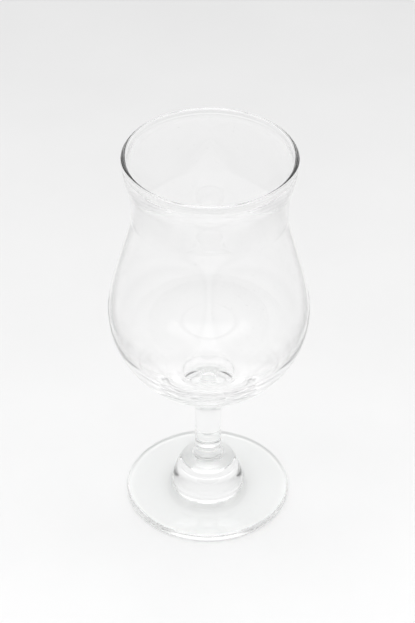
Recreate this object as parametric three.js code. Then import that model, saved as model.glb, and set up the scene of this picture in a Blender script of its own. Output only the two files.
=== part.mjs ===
import * as THREE from 'three';

// A stemmed tulip cocktail glass, in millimetres, standing on z = 0 with its axis along z.
// It is made of three lumps of clear glass fused end to end: the blown bowl with its drawn neck,
// the pressed knop under it, and the pressed foot.
// Handles are the points, as (radius, height), that pull a bend of the outline to its form.

// Where the lumps are fused to each other
const seamHeight = 30.9;
const seamRadius = 5.2;
const creaseHeight = 19.6;
const creaseRadius = 6.4;

// The solid neck drawn down from the bowl
const neckRadius = 5.6;
const neckRounding = 0.3;
const neckWaist = at(5.35, 36);
const neckTopRadius = 6;
const neckTopHeight = 47.5;
const neckTopHandle = at(5.8, 42);
const flareHandles = [at(7.3, 50.2), at(10.3, 58.2)];

// The tulip bowl, outside
const bowlBase = at(13, 59.2);
const bowlBaseHandle = at(23.2, 65.2);
const bellyRadius = 42.4;
const bellyHeight = 101.9;
const bellyLowerHandle = 77.3;
const bellyUpperHandle = 113.6;
const waistRadius = 32.15;
const waistHeight = 149;
const waistLowerHandle = 141.3;
const lipRadius = 35.5;
const lipHandles = [at(32, 164.5), at(36.1, 167.9)];

// The rim, melted into a round bead
const overallHeight = 178.2;
const rimRadius = 36.05;
const beadWidth = 2.26;
const beadHeight = 3.05;
const beadDrop = 2.03;
const beadFlank = 0.7;

// The bowl, inside
const lipWall = 1.3;
const waistWall = 1.4;
const bellyWall = 1.25;
const innerLipHandles = [at(32.3, 165.9), at(30.2, 165.9)];
const innerBellyHandle = 76.6;
const wellHandle = at(19.7, 70.4);
const wellRadius = 11.2;
const wellTop = 68.4;
const wellEdgeRounding = 2.6;
const wellFootRadius = 11.3;
const wellFootRounding = 0.4;
const wellFloorHeight = 61.7;
const wellMiddleHeight = 62.5;
const nippleEdgeRadius = 3.6;
const nippleTop = 63.5;
const nippleHandles = [at(2.4, wellMiddleHeight), at(1.7, nippleTop)];
const wellFloorHandles = [at(7, wellFloorHeight), at(5.1, wellMiddleHeight)];

// The knop, a short collar that widens like a skirt down to its crease on the foot
const knopRingRadius = 5.8;
const knopRingHeight = 25.9;
const knopRingRounding = 0.3;
const knopSkirtRadius = 7;
const knopSkirtHeight = 20.6;
const knopSkirtRounding = 0.4;
const knopHandles = [at(7, 22.2), at(knopRingRadius, 23.1)];

// The foot, a round plate with a tall boss in the middle and a shallow hollow underneath
const footRadius = 35.7;
const footEdgeLift = 0.03;
const footEdgeMiddle = 1.3;
const footEdgeTop = 3.4;
const footLowerRounding = 0.6;
const footUpperRounding = 1.7;
const plateRadius = 23;
const plateHeight = 4.4;
const plateHandles = [at(18.8, 4.7), at(16.3, 4.4)];
const bossBase = at(15.4, 6.7);
const bossHandles = [at(15.1, 11.2), at(13.15, 14.9)];
const bossWaist = at(12.6, 16.6);
const shoulderHandles = [at(11.7, 17.9), at(11.45, 18.45)];
const shoulder = at(10.75, 18.65);
const bearingOuterRadius = 33.6;
const bearingInnerRadius = 29;
const hollowHeight = 0.6;
const hollowHandles = [at(17, hollowHeight), at(25.3, hollowHeight)];

// Steps round each turned piece
const bowlSegments = 60;
const stemSegments = 48;

function at(radius, height) {
  return new THREE.Vector2(radius, height);
}

// A smooth stretch of outline between two points, each with a handle that sets its direction.
function bend(start, startHandle, endHandle, end, steps) {
  return new THREE.CubicBezierCurve(start, startHandle, endHandle, end).getPoints(steps);
}

// A rounded corner between two points: it leaves one and reaches the other straight towards the
// point where the corner would be if it were sharp.
function roundedCorner(start, sharp, end, steps) {
  return new THREE.QuadraticBezierCurve(start, sharp, end).getPoints(steps);
}

// Half of an ellipse, over the top from the outside to the inside
function overTop(centre, halfWidth, halfHeight, steps) {
  const arc = new THREE.EllipseCurve(centre.x, centre.y, halfWidth, halfHeight, 0, Math.PI);
  return arc.getPoints(steps);
}

// The outline in order, with any point that repeats the one before it left out.
function joined(...stretches) {
  const points = stretches.flat();
  return points.filter((point, i) => i === 0 || point.distanceTo(points[i - 1]) > 0.001);
}

function clearGlass(colour) {
  return new THREE.MeshStandardMaterial({ color: colour, roughness: 0.03, metalness: 0 });
}

// A solid turned about z. The outline runs from the axis along the underside, up the outside and
// back over the top to the axis.
function turned(name, outline, segments, material) {
  const geometry = new THREE.LatheGeometry(outline, segments);
  geometry.rotateX(Math.PI / 2);
  const mesh = new THREE.Mesh(geometry, material);
  mesh.name = name;
  return mesh;
}

// The drawn neck, from the seam up to the bottom of the bowl
function neckOutside() {
  const neckFoot = at(neckRadius, seamHeight + neckRounding);
  const neckTop = at(neckTopRadius, neckTopHeight);
  return joined(
    [at(0, seamHeight)],
    roundedCorner(at(seamRadius, seamHeight), at(neckRadius, seamHeight), neckFoot, 3),
    bend(neckFoot, neckWaist, neckTopHandle, neckTop, 5),
    bend(neckTop, ...flareHandles, bowlBase, 7),
  );
}

// The tulip outside: round belly, narrow waist and flared mouth
function bowlOutside() {
  const belly = at(bellyRadius, bellyHeight);
  const waist = at(waistRadius, waistHeight);
  const underBead = overallHeight - beadHeight / 2 - beadDrop;
  return joined(
    bend(bowlBase, bowlBaseHandle, at(bellyRadius, bellyLowerHandle), belly, 13),
    bend(belly, at(bellyRadius, bellyUpperHandle), at(waistRadius, waistLowerHandle), waist, 8),
    bend(waist, ...lipHandles, at(lipRadius, underBead), 7),
  );
}

// The bead round the mouth, with the short flanks that lead into it on both sides
function bead() {
  const middle = at(rimRadius - beadWidth / 2, overallHeight - beadHeight / 2);
  const outer = at(rimRadius, middle.y);
  const inner = at(rimRadius - beadWidth, middle.y);
  const underBead = middle.y - beadDrop;
  const flank = middle.y - beadFlank;
  const innerLip = lipRadius - lipWall;
  return joined(
    bend(at(lipRadius, underBead), at(lipRadius, flank), at(outer.x, flank), outer, 3),
    overTop(middle, beadWidth / 2, beadHeight / 2, 8),
    bend(inner, at(inner.x, flank), at(innerLip, flank), at(innerLip, underBead), 3),
  );
}

// The inside wall from the mouth down to the edge of the well
function bowlInside() {
  const innerLip = at(lipRadius - lipWall, overallHeight - beadHeight / 2 - beadDrop);
  const waist = at(waistRadius - waistWall, waistHeight);
  const belly = at(bellyRadius - bellyWall, bellyHeight);
  const wellEdge = at(wellRadius + wellEdgeRounding, wellTop);
  return joined(
    bend(innerLip, ...innerLipHandles, waist, 7),
    bend(waist, at(waist.x, waistLowerHandle), at(belly.x, bellyUpperHandle), belly, 8),
    bend(belly, at(belly.x, innerBellyHandle), wellHandle, wellEdge, 11),
  );
}

// The round well in the thick bottom, with the small nipple in its middle
function well() {
  const edge = at(wellRadius + wellEdgeRounding, wellTop);
  const corner = at(wellRadius, wellTop);
  const wall = at(wellRadius, wellTop - wellEdgeRounding);
  const footTop = at(wellFootRadius, wellFloorHeight + wellFootRounding);
  const footCorner = at(wellFootRadius, wellFloorHeight);
  const footEnd = at(wellFootRadius - wellFootRounding, wellFloorHeight);
  const nippleEdge = at(nippleEdgeRadius, wellMiddleHeight);
  return joined(
    roundedCorner(edge, corner, wall, 4),
    roundedCorner(footTop, footCorner, footEnd, 3),
    bend(footEnd, ...wellFloorHandles, nippleEdge, 4),
    bend(nippleEdge, ...nippleHandles, at(0, nippleTop), 4),
  );
}

function bowl() {
  const outline = joined(neckOutside(), bowlOutside(), bead(), bowlInside(), well());
  return turned('bowl', outline, bowlSegments, clearGlass(0xf2f5f4));
}

function stemKnop() {
  const ringTop = at(knopRingRadius, seamHeight - knopRingRounding);
  const skirt = at(knopSkirtRadius, knopSkirtHeight);
  const ring = at(knopRingRadius, knopRingHeight);
  const skirtFoot = at(knopSkirtRadius, creaseHeight + knopSkirtRounding);
  const outline = joined(
    [at(0, creaseHeight)],
    roundedCorner(at(creaseRadius, creaseHeight), at(knopSkirtRadius, creaseHeight), skirtFoot, 3),
    bend(skirt, ...knopHandles, ring, 6),
    roundedCorner(ringTop, at(knopRingRadius, seamHeight), at(seamRadius, seamHeight), 4),
    [at(0, seamHeight)],
  );
  return turned('stem_knop', outline, stemSegments, clearGlass(0xf0f4f3));
}

// The underside: a hollow inside the flat ring that the glass stands on
function footUnderside() {
  return joined(
    bend(at(0, hollowHeight), ...hollowHandles, at(bearingInnerRadius, 0), 6),
    [at(bearingOuterRadius, 0)],
  );
}

// The rounded edge and the gently sloping top of the plate
function footPlate() {
  const under = at(footRadius - footLowerRounding, footEdgeLift);
  const middle = at(footRadius, footEdgeMiddle);
  const over = at(footRadius - footUpperRounding, footEdgeTop);
  return joined(
    roundedCorner(under, at(footRadius, footEdgeLift), middle, 4),
    roundedCorner(middle, at(footRadius, footEdgeTop), over, 4),
    bend(at(plateRadius, plateHeight), ...plateHandles, bossBase, 5),
  );
}

// The tall boss in the middle, steep at the side and nearly flat on top, up to the crease
function footBoss() {
  return joined(
    bend(bossBase, ...bossHandles, bossWaist, 5),
    bend(bossWaist, ...shoulderHandles, shoulder, 4),
    [at(creaseRadius, creaseHeight), at(0, creaseHeight)],
  );
}

function foot() {
  const outline = joined(footUnderside(), footPlate(), footBoss());
  return turned('foot', outline, bowlSegments, clearGlass(0xeff3f2));
}

const glass = new THREE.Group();
glass.add(bowl(), stemKnop(), foot());

export default glass;
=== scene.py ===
import math
import bmesh
import bpy
from mathutils import Euler, Matrix, Vector
from mathutils.geometry import interpolate_bezier


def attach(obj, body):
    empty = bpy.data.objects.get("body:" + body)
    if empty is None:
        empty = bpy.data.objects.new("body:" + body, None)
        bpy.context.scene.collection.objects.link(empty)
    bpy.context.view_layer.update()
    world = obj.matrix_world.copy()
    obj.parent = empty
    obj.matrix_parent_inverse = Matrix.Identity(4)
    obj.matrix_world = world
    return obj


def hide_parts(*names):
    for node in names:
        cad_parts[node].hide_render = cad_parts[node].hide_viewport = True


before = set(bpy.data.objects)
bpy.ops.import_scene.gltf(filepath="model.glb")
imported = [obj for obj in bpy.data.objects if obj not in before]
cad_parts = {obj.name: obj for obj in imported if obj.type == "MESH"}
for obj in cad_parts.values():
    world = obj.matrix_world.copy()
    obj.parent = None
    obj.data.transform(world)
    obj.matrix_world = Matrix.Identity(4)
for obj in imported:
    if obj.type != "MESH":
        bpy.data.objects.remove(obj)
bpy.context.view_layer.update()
scene = bpy.context.scene
print("frame loaded:", sorted(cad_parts))

millimetre = 0.001
weldDistance = 1e-7
levelTolerance = 1e-6
fewestSteps = 6  # in one bend
quarterBend = 0.5523  # how far a handle of a quarter circle reaches towards the sharp corner


# An outline is a list of stretches in millimetres, as (radius, height) points that carry on from
# the last one: one point is a straight line, three are the two handles and the end of a bend.
def traceOutline(start, stretches, stepLength):
    points = [Vector((start[0], 0, start[1]))]
    for stretch in stretches:
        ends = [Vector((radius, 0, height)) for radius, height in stretch]
        if len(ends) == 1:
            points.append(ends[0])
            continue
        steps = max(fewestSteps, round((ends[-1] - points[-1]).length / stepLength))
        points += interpolate_bezier(points[-1], *ends, steps + 1)[1:]
    return [point * millimetre for point in points]


# The stretch that rounds a sharp corner off, as a quarter of an ellipse
def rounded(start, sharp, end):
    handles = [
        tuple(here + quarterBend * (there - here) for here, there in zip(point, sharp))
        for point in (start, end)
    ]
    return [*handles, end]


# Turns an outline round the axis into one closed solid with its faces outwards
def turnSolid(name, points, turns):
    work = bmesh.new()
    corners = [work.verts.new(point) for point in points]
    edges = [work.edges.new(pair) for pair in zip(corners, corners[1:])]
    bmesh.ops.spin(
        work, geom=corners + edges, cent=(0, 0, 0), axis=(0, 0, 1),
        angle=math.tau, steps=turns, use_merge=True,
    )
    bmesh.ops.remove_doubles(work, verts=work.verts, dist=weldDistance)
    bmesh.ops.dissolve_degenerate(work, edges=work.edges, dist=weldDistance)
    bmesh.ops.recalc_face_normals(work, faces=work.faces)
    for face in work.faces:
        face.smooth = True
    mesh = bpy.data.meshes.new(name)
    work.to_mesh(mesh)
    work.free()
    piece = bpy.data.objects.new(name, mesh)
    scene.collection.objects.link(piece)
    return piece


# The faces inside a joint, fused to the next lump of glass, get the second material
def fuseFaces(piece, joint):
    radius, height = (measure * millimetre for measure in joint)
    for face in piece.data.polygons:
        corners = [piece.data.vertices[i].co for i in face.vertices]
        level = all(abs(corner.z - height) < levelTolerance for corner in corners)
        if level and math.hypot(face.center.x, face.center.y) < radius:
            face.material_index = 1
            face.use_smooth = False


# The outer edge of each joint, as (radius, height): neck to knop, and knop to foot
seam = (5.2, 30.9)
crease = (6.4, 19.6)

bowlShape = {
    "neckRadius": 5.6, "neckRounding": 0.3, "neckWaist": (5.35, 36),
    "neckTopHandle": (5.8, 42), "neckTop": (6, 47.5),
    "flareHandles": [(7.3, 50.2), (10.3, 58.2)], "base": (13, 59.2), "baseHandle": (23.2, 65.2),
    "bellyRadius": 42.4, "bellyHeight": 101.9, "bellyWall": 1.25,
    "bellyLowerHandle": 77.3, "bellyInnerHandle": 76.6, "bellyUpperHandle": 113.6,
    "waistRadius": 32.15, "waistHeight": 149, "waistWall": 1.4, "waistHandle": 141.3,
    "lipRadius": 35.5, "lipWall": 1.3, "lipHandles": [(32, 164.5), (36.1, 167.9)],
    "innerLipHandles": [(32.3, 165.9), (30.2, 165.9)],
    "height": 178.2, "rimRadius": 36.05, "beadWidth": 2.26, "beadHeight": 3.05,
    "beadDrop": 2.03, "beadFlank": 0.7,
    "wellHandle": (19.7, 70.4), "wellEdge": (13.8, 68.4),
    "wellEdgeHandles": [(12.24, 68.088), (11.2, 67.23)], "wellWall": (11.2, 65.8),
    "wellFoot": (11.3, 62.1), "wellFootHandles": [(11.3, 61.88), (11.08, 61.7)],
    "wellFloor": (10.9, 61.7), "wellFloorHandles": [(7.006, 61.7), (5.1, 62.5)],
    "nippleEdge": (3.6, 62.5), "nippleHandles": [(2.4, 62.5), (1.7, 63.5)], "nippleTop": 63.5,
    "turns": 192, "step": 0.8,
}


# The blown bowl with its drawn neck: up the outside, over the rim and down into the well
def makeBowl(shape):
    seamHeight = seam[1]
    neck, rounding = shape["neckRadius"], shape["neckRounding"]
    slack = rounding * (1 - quarterBend)
    belly, bellyHeight, bellyHandle = (
        shape["bellyRadius"], shape["bellyHeight"], shape["bellyUpperHandle"],
    )
    waist, waistHeight, waistHandle = (
        shape["waistRadius"], shape["waistHeight"], shape["waistHandle"],
    )
    lip, rim, top = shape["lipRadius"], shape["rimRadius"], shape["height"]
    innerBelly = belly - shape["bellyWall"]
    innerWaist = waist - shape["waistWall"]
    innerLip = lip - shape["lipWall"]
    innerRim = rim - shape["beadWidth"]
    rimTop = (rim - shape["beadWidth"] / 2, top)
    bead = top - shape["beadHeight"] / 2
    underBead = bead - shape["beadDrop"]
    flank = bead - shape["beadFlank"]
    points = traceOutline((0, seamHeight), [
        [seam],
        [(neck - slack, seamHeight), (neck, seamHeight + slack), (neck, seamHeight + rounding)],
        [shape["neckWaist"], shape["neckTopHandle"], shape["neckTop"]],
        [*shape["flareHandles"], shape["base"]],
        [shape["baseHandle"], (belly, shape["bellyLowerHandle"]), (belly, bellyHeight)],
        [(belly, bellyHandle), (waist, waistHandle), (waist, waistHeight)],
        [*shape["lipHandles"], (lip, underBead)],
        [(lip, flank), (rim, flank), (rim, bead)],
        rounded((rim, bead), (rim, top), rimTop),
        rounded(rimTop, (innerRim, top), (innerRim, bead)),
        [(innerRim, flank), (innerLip, flank), (innerLip, underBead)],
        [*shape["innerLipHandles"], (innerWaist, waistHeight)],
        [(innerWaist, waistHandle), (innerBelly, bellyHandle), (innerBelly, bellyHeight)],
        [(innerBelly, shape["bellyInnerHandle"]), shape["wellHandle"], shape["wellEdge"]],
        [*shape["wellEdgeHandles"], shape["wellWall"]],
        [shape["wellFoot"]],
        [*shape["wellFootHandles"], shape["wellFloor"]],
        [*shape["wellFloorHandles"], shape["nippleEdge"]],
        [*shape["nippleHandles"], (0, shape["nippleTop"])],
    ], shape["step"])
    bowl = turnSolid("bowlGlass", points, shape["turns"])
    fuseFaces(bowl, seam)
    return bowl


knopShape = {
    "skirtFootHandles": [(6.9, 19.7), (7, 20.1)], "skirt": (7, 20.6),
    "skirtHandles": [(7, 22.2), (5.8, 23.1)],
    "ringRadius": 5.8, "ringHeight": 25.9, "ringRounding": 0.3,
    "turns": 144, "step": 0.4,
}


# The pressed knop: from the crease up its skirt, to the ring under the neck
def makeKnop(shape):
    seamHeight = seam[1]
    ring, rounding = shape["ringRadius"], shape["ringRounding"]
    slack = rounding * (1 - quarterBend)
    points = traceOutline((0, crease[1]), [
        [crease],
        [*shape["skirtFootHandles"], shape["skirt"]],
        [*shape["skirtHandles"], (ring, shape["ringHeight"])],
        [(ring, seamHeight - rounding)],
        [(ring, seamHeight - slack), (ring - slack, seamHeight), seam],
        [(0, seamHeight)],
    ], shape["step"])
    knop = turnSolid("knopGlass", points, shape["turns"])
    fuseFaces(knop, crease)
    fuseFaces(knop, seam)
    return knop


footShape = {
    "hollowHeight": 0.6, "hollowHandles": [(17, 0.6), (25.3, 0.6)],
    "bearingInner": 29, "bearingOuter": 33.6,
    "edgeRadius": 35.7, "edgeLift": 0.03, "edgeMiddle": 1.3, "edgeTop": 3.4,
    "lowerRounding": 0.6, "upperRounding": 1.7,
    "plate": (23, 4.4), "plateHandles": [(18.8, 4.7), (16.3, 4.4)],
    "bossBase": (15.4, 6.7), "bossHandles": [(15.1, 11.2), (13.15, 14.9)],
    "bossWaist": (12.6, 16.6), "shoulderHandles": [(11.7, 17.9), (11.45, 18.45)],
    "shoulder": (10.75, 18.65),
    "turns": 192, "step": 0.5,
}


# The pressed foot: out along the underside, round the edge, and in over the plate and the boss
def makeFoot(shape):
    edge, lift, top = shape["edgeRadius"], shape["edgeLift"], shape["edgeTop"]
    under = (edge - shape["lowerRounding"], lift)
    middle = (edge, shape["edgeMiddle"])
    over = (edge - shape["upperRounding"], top)
    points = traceOutline((0, shape["hollowHeight"]), [
        [*shape["hollowHandles"], (shape["bearingInner"], 0)],
        [(shape["bearingOuter"], 0)],
        [under],
        rounded(under, (edge, lift), middle),
        rounded(middle, (edge, top), over),
        [shape["plate"]],
        [*shape["plateHandles"], shape["bossBase"]],
        [*shape["bossHandles"], shape["bossWaist"]],
        [*shape["shoulderHandles"], shape["shoulder"]],
        [crease],
        [(0, crease[1])],
    ], shape["step"])
    foot = turnSolid("footGlass", points, shape["turns"])
    fuseFaces(foot, crease)
    return foot


# Gives a node's inputs, by name or number, either a plain value or another node's output
def fill(tree, node, values):
    for name, value in values.items():
        if isinstance(value, bpy.types.NodeSocket):
            tree.links.new(value, node.inputs[name])
        else:
            node.inputs[name].default_value = value


def maths(tree, operation, *values):
    node = tree.nodes.new("ShaderNodeMath")
    node.operation = operation
    fill(tree, node, dict(enumerate(values)))
    return node.outputs["Value"]


def product(tree, first, *others):
    for other in others:
        first = maths(tree, "MULTIPLY", first, other)
    return first


def vectorMaths(tree, operation, *values):
    node = tree.nodes.new("ShaderNodeVectorMath")
    node.operation = operation
    fill(tree, node, dict(enumerate(values)))
    return node.outputs["Value" if operation in ("LENGTH", "DOT_PRODUCT") else "Vector"]


# Carries a value from one range to another, and stops at both ends
def ranged(tree, value, start, end, first=0, last=1, kind="LINEAR"):
    node = tree.nodes.new("ShaderNodeMapRange")
    node.interpolation_type = kind
    fill(tree, node, {
        "Value": value, "From Min": start, "From Max": end, "To Min": first, "To Max": last,
    })
    return node.outputs["Result"]


def blended(tree, share, first, second):
    node = tree.nodes.new("ShaderNodeMix")
    node.data_type = "RGBA"
    fill(tree, node, {"Factor": share, "A": first, "B": second})
    return node.outputs["Result"]


def noise(tree, place, scale, detail, roughness=0.5):
    node = tree.nodes.new("ShaderNodeTexNoise")
    fill(tree, node, {"Vector": place, "Scale": scale, "Detail": detail, "Roughness": roughness})
    return node.outputs["Fac"]


def newMaterial(name):
    material = bpy.data.materials.new(name)
    material.use_nodes = True
    return material, material.node_tree.nodes["Principled BSDF"]


glassDetail = {
    "refraction": 1.52,
    "waveScale": 55, "waveDetail": 1.5, "waveRoughness": 0.4,
    "waveDepth": 0.00006,  # metres
    "hazeScale": 35, "hazeDetail": 4, "hazeFrom": 0.55, "hazeTo": 0.8,
    "haze": 0.012,  # roughness in the middle of a patch
    # The second fade spans the ring round the boss that carries the foot's painted shade
    "coreFade": (0.0085, 0.0115), "paintedShadeFade": (0.013, 0.024),  # metres from the axis
    "seedScale": 260, "seedSize": 0.035, "seedLevel": 0.25,
}


# Surface of clear glass: faint waves left by the hot forming, stretched along the axis where the
# glass was drawn; thin patches of haze; a few tiny seeds; and a tint for the core at the axis,
# one for the ring round it and one for the rest. The ring's tint is painted shade on the foot: it
# darkens the glass round the boss for the shadow that falls on the floor beneath it.
def glassSurface(detail):
    group = bpy.data.node_groups.new("glassSurface", "ShaderNodeTree")
    for name, direction, kind in (
        ("Stretch", "INPUT", "Float"), ("Tint", "INPUT", "Color"),
        ("Painted Shade Tint", "INPUT", "Color"), ("Core Tint", "INPUT", "Color"),
        ("Color", "OUTPUT", "Color"), ("Roughness", "OUTPUT", "Float"),
        ("Height", "OUTPUT", "Float"),
    ):
        group.interface.new_socket(name, in_out=direction, socket_type="NodeSocket" + kind)
    given = group.nodes.new("NodeGroupInput").outputs
    result = group.nodes.new("NodeGroupOutput")
    place = group.nodes.new("ShaderNodeTexCoord").outputs["Object"]

    axes = group.nodes.new("ShaderNodeCombineXYZ")
    fill(group, axes, {"X": 1, "Y": 1, "Z": given["Stretch"]})
    drawn = vectorMaths(group, "MULTIPLY", place, axes.outputs["Vector"])
    waves = noise(
        group, drawn, detail["waveScale"], detail["waveDetail"], detail["waveRoughness"],
    )
    patches = noise(group, drawn, detail["hazeScale"], detail["hazeDetail"])
    haze = ranged(group, patches, detail["hazeFrom"], detail["hazeTo"], 0, detail["haze"])

    flat = vectorMaths(group, "MULTIPLY", place, (1, 1, 0))
    fromAxis = vectorMaths(group, "LENGTH", flat)
    clear = given["Core Tint"]
    for fade, farther in (("coreFade", "Painted Shade Tint"), ("paintedShadeFade", "Tint")):
        beyond = ranged(group, fromAxis, *detail[fade], kind="SMOOTHSTEP")
        clear = blended(group, beyond, clear, given[farther])

    seeds = group.nodes.new("ShaderNodeTexVoronoi")
    fill(group, seeds, {"Vector": place, "Scale": detail["seedScale"]})
    seed = maths(group, "LESS_THAN", seeds.outputs["Distance"], detail["seedSize"])
    seeded = blended(group, seed, clear, (*[detail["seedLevel"]] * 3, 1))
    fill(group, result, {"Color": seeded, "Roughness": haze, "Height": waves})
    return group


glassLook = {
    "bowl": {
        "stretch": 0.3, "bump": 0.5,
        "tint": (1, 1, 1), "paintedShadeTint": (1, 1, 1), "coreTint": (0.98, 0.984, 0.982),
    },
    "stem_knop": {
        "stretch": 1, "bump": 0.4, "tint": (0.985, 0.99, 0.987),
        "paintedShadeTint": (0.985, 0.99, 0.987), "coreTint": (0.97, 0.975, 0.972),
    },
    "foot": {
        "stretch": 1, "bump": 0.4, "tint": (0.965, 0.97, 0.967),
        # On the foot the second tint is painted shade, darkening the glass round the boss for the
        # shadow on the floor beneath it
        "paintedShadeTint": (0.9, 0.905, 0.902), "coreTint": (0.95, 0.955, 0.952),
    },
}


def clearGlass(node, look, surface):
    material, shader = newMaterial(node + "Clear")
    tree = material.node_tree
    detail = tree.nodes.new("ShaderNodeGroup")
    detail.node_tree = surface
    fill(tree, detail, {
        "Stretch": look["stretch"], "Tint": (*look["tint"], 1),
        "Painted Shade Tint": (*look["paintedShadeTint"], 1), "Core Tint": (*look["coreTint"], 1),
    })
    bump = tree.nodes.new("ShaderNodeBump")
    fill(tree, bump, {
        "Strength": look["bump"], "Distance": glassDetail["waveDepth"],
        "Height": detail.outputs["Height"],
    })
    fill(tree, shader, {
        "IOR": glassDetail["refraction"], "Transmission Weight": 1,
        "Base Color": detail.outputs["Color"], "Roughness": detail.outputs["Roughness"],
        "Normal": bump.outputs["Normal"],
    })
    return material


# Invisible, so that light passes a joint as if it were one lump of glass
def fusedJoint():
    material, shader = newMaterial("fusedJoint")
    shader.inputs["Alpha"].default_value = 0
    return material


def placePiece(piece, node, surface, joint):
    piece.data.materials.append(clearGlass(node, glassLook[node], surface))
    piece.data.materials.append(joint)
    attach(piece, "root")
    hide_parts(node)
    print("made", piece.name, len(piece.data.polygons), "faces")


surface = glassSurface(glassDetail)
joint = fusedJoint()
placePiece(makeBowl(bowlShape), "bowl", surface, joint)
placePiece(makeKnop(knopShape), "stem_knop", surface, joint)
placePiece(makeFoot(footShape), "foot", surface, joint)


# Lengths are in metres, and places run from the glass to the back
floorLook = {
    "radius": 12, "sides": 96, "drop": 0.00005, "roughness": 0.9, "specular": 0.1,
    # From frontAt to backAt the colour is painted darker, as shade for the light falling off;
    # farLift paints it paler far behind
    "frontAt": -0.1, "front": 0.925, "backAt": 0.45, "back": 0.73,
    "farStart": 0.55, "farEnd": 0.85, "farLift": 0.12,
    "sheetHalfWidth": 0.098, "sheetWidening": 0.066, "sheetFade": 0.035,
    # The strip values set painted shade beside the glass; rays off the glass see it and the
    # camera does not
    "stripEnd": 0.165, "stripFade": 0.055, "outerShare": 0.35,  # of the shade, beyond the strip
    "shade": 0.37, "shadeFront": 0.09, "shadeBack": 0.2, "backShare": 0.55,  # and at the back
    "mottleScale": 14, "mottleDetail": 5, "mottleFrom": 0.3, "mottleTo": 0.7, "mottle": 0.012,
}


# A pale sheet whose colour is painted darker to the back, painted shade for the light falling off
# behind the glass, and painted paler again far behind. The glass also sees a greyer strip of
# painted shade beyond both of its sides, deepest beside the glass and in front of it; the camera
# doesn't.
def paleFloor(look):
    material, shader = newMaterial("paleFloor")
    tree = material.node_tree
    place = tree.nodes.new("ShaderNodeTexCoord").outputs["Object"]
    split = tree.nodes.new("ShaderNodeSeparateXYZ")
    fill(tree, split, {"Vector": place})
    x, y = split.outputs["X"], split.outputs["Y"]

    # Painted shade: the colour falls from front to back as the light fades, then is painted paler
    # again far behind
    far = ranged(tree, y, look["farStart"], look["farEnd"], kind="SMOOTHSTEP")
    near = ranged(tree, y, look["frontAt"], look["backAt"], look["front"], look["back"])
    level = maths(tree, "ADD", near, product(tree, far, look["farLift"]))

    # Painted shade: a greyer strip beside the sheet, strongest in front, that only rays off the
    # glass see
    widening = product(tree, y, look["sheetWidening"])
    beside = maths(tree, "SUBTRACT", maths(tree, "ABSOLUTE", x), widening)
    edge, end = look["sheetHalfWidth"], look["stripEnd"]
    strip = ranged(tree, beside, edge, edge + look["sheetFade"], kind="SMOOTHSTEP")
    outer = ranged(
        tree, beside, end, end + look["stripFade"], 1, look["outerShare"], "SMOOTHSTEP",
    )
    front = ranged(
        tree, y, look["shadeFront"], look["shadeBack"], 1, look["backShare"], "SMOOTHSTEP",
    )
    path = tree.nodes.new("ShaderNodeLightPath")
    unseen = maths(tree, "SUBTRACT", 1, path.outputs["Is Camera Ray"])
    beforeFar = maths(tree, "SUBTRACT", 1, far)
    paintedShade = product(tree, strip, outer, front, look["shade"], beforeFar, unseen)
    clearOfPaintedShade = maths(tree, "SUBTRACT", 1, paintedShade)

    grain = noise(tree, place, look["mottleScale"], look["mottleDetail"])
    mottle = ranged(
        tree, grain, look["mottleFrom"], look["mottleTo"], 1 - look["mottle"], 1 + look["mottle"],
    )
    fill(tree, shader, {
        "Base Color": product(tree, level, clearOfPaintedShade, mottle),
        "Roughness": look["roughness"], "Specular IOR Level": look["specular"],
    })
    return material


def makeFloor(look):
    work = bmesh.new()
    bmesh.ops.create_circle(work, cap_ends=True, segments=look["sides"], radius=look["radius"])
    mesh = bpy.data.meshes.new("floor")
    work.to_mesh(mesh)
    work.free()
    floor = bpy.data.objects.new("floor", mesh)
    floor.location.z = -look["drop"]
    scene.collection.objects.link(floor)
    mesh.materials.append(paleFloor(look))


makeFloor(floorLook)
print("made the floor")


# Each level is a direction, from 1 at the middle of the leaning dome down to -1 opposite it, and
# the strength of the light there. A box's centre and half size are shares of its height.
studioLight = {
    "leanBack": 20, "lowestHeight": 0.05,
    "levels": [(-0.3, 0.1), (-0.05, 0.2), (0.1, 0.45), (0.25, 0.8), (0.4, 0.92), (1, 0.92)],
    "boxes": [
        {"centre": (0, 0.03), "halfSize": (0.75, 0.17), "level": 1.2, "softness": 0.12},
        {"centre": (0, 0.38), "halfSize": (0.3, 0.2), "level": 1.0, "softness": 0.12},
        {"centre": (0, 1.15), "halfSize": (1.2, 0.5), "level": 0.1, "softness": 0.3},
        {"centre": (0, 2.4), "halfSize": (1.6, 0.7), "level": 0.35, "softness": 0.4},
    ],
}


# How far inside the edge of an overhead box one coordinate of its plane is, from 0 to 1
def insideBox(tree, coordinate, centre, halfSize, softness):
    offset = maths(tree, "ABSOLUTE", maths(tree, "SUBTRACT", coordinate, centre))
    return ranged(tree, offset, halfSize - softness, halfSize + softness, 1, 0, "SMOOTHSTEP")


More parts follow.
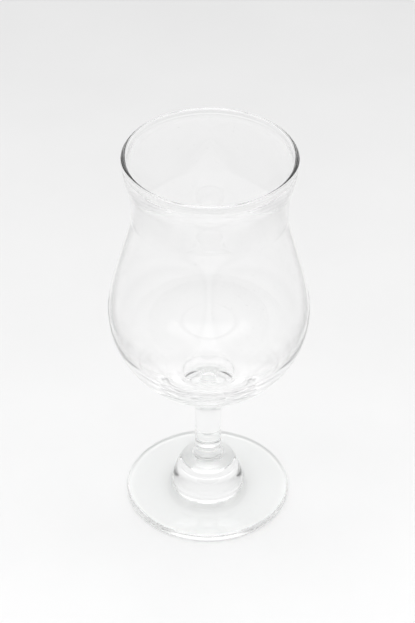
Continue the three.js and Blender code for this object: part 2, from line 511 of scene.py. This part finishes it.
# A soft dome of light that leans over from behind the glass, so that the camera's side of the
# room is dim, with flat soft boxes overhead
def makeWorld(light):
    world = bpy.data.worlds.new("studio")
    scene.world = world
    world.use_nodes = True
    tree = world.node_tree
    direction = tree.nodes.new("ShaderNodeTexCoord").outputs["Generated"]
    angle = math.radians(light["leanBack"])
    middle = (0, math.sin(angle), math.cos(angle))
    leaning = vectorMaths(tree, "DOT_PRODUCT", direction, middle)
    lowest, highest = light["levels"][0][0], light["levels"][-1][0]
    ramp = tree.nodes.new("ShaderNodeValToRGB")
    while len(ramp.color_ramp.elements) < len(light["levels"]):
        ramp.color_ramp.elements.new(0.5)  # moved to its own place below
    for element, (place, level) in zip(ramp.color_ramp.elements, light["levels"]):
        element.position = (place - lowest) / (highest - lowest)
        element.color = (level, level, level, 1)
    fill(tree, ramp, {"Fac": ranged(tree, leaning, lowest, highest)})

    split = tree.nodes.new("ShaderNodeSeparateXYZ")
    fill(tree, split, {"Vector": direction})
    height = maths(tree, "MAXIMUM", split.outputs["Z"], light["lowestHeight"])
    across = maths(tree, "DIVIDE", split.outputs["X"], height)
    along = maths(tree, "DIVIDE", split.outputs["Y"], height)
    total = ramp.outputs["Color"]
    for box in light["boxes"]:
        (x, y), (halfWidth, halfDepth) = box["centre"], box["halfSize"]
        inWidth = insideBox(tree, across, x, halfWidth, box["softness"])
        inDepth = insideBox(tree, along, y, halfDepth, box["softness"])
        total = maths(tree, "ADD", total, product(tree, inWidth, inDepth, box["level"]))
    fill(tree, tree.nodes["Background"], {"Color": (1, 1, 1, 1), "Strength": total})


makeWorld(studioLight)
print("lit the studio")

# Lengths are in metres and angles in degrees, except the lens and the sensor, in millimetres
cameraSetup = {
    "distance": 0.8189, "height": 0.7411, "sideStep": -0.0006, "lookDown": 38.10, "roll": 0.41,
    "lens": 143.0, "sensorWidth": 36,
}


def placeCamera(setup):
    camera = bpy.data.objects.new("camera", bpy.data.cameras.new("camera"))
    scene.collection.objects.link(camera)
    camera.data.lens = setup["lens"]
    camera.data.sensor_width = setup["sensorWidth"]
    aim = Euler((math.radians(90 - setup["lookDown"]), 0, 0)).to_matrix()
    turn = (aim @ Matrix.Rotation(math.radians(setup["roll"]), 3, "Z")).to_4x4()
    place = Vector((setup["sideStep"], -setup["distance"], setup["height"]))
    camera.matrix_world = Matrix.Translation(place) @ turn
    scene.camera = camera


placeCamera(cameraSetup)
print("placed the camera")

# Light crosses many walls of glass on its way, and the glints in it stay sharp
scene.cycles.max_bounces = 64
scene.cycles.transmission_bounces = 64
scene.cycles.diffuse_bounces = 8
scene.cycles.glossy_bounces = 32
scene.cycles.transparent_max_bounces = 24
scene.cycles.blur_glossy = 0
scene.view_settings.view_transform = "Standard"
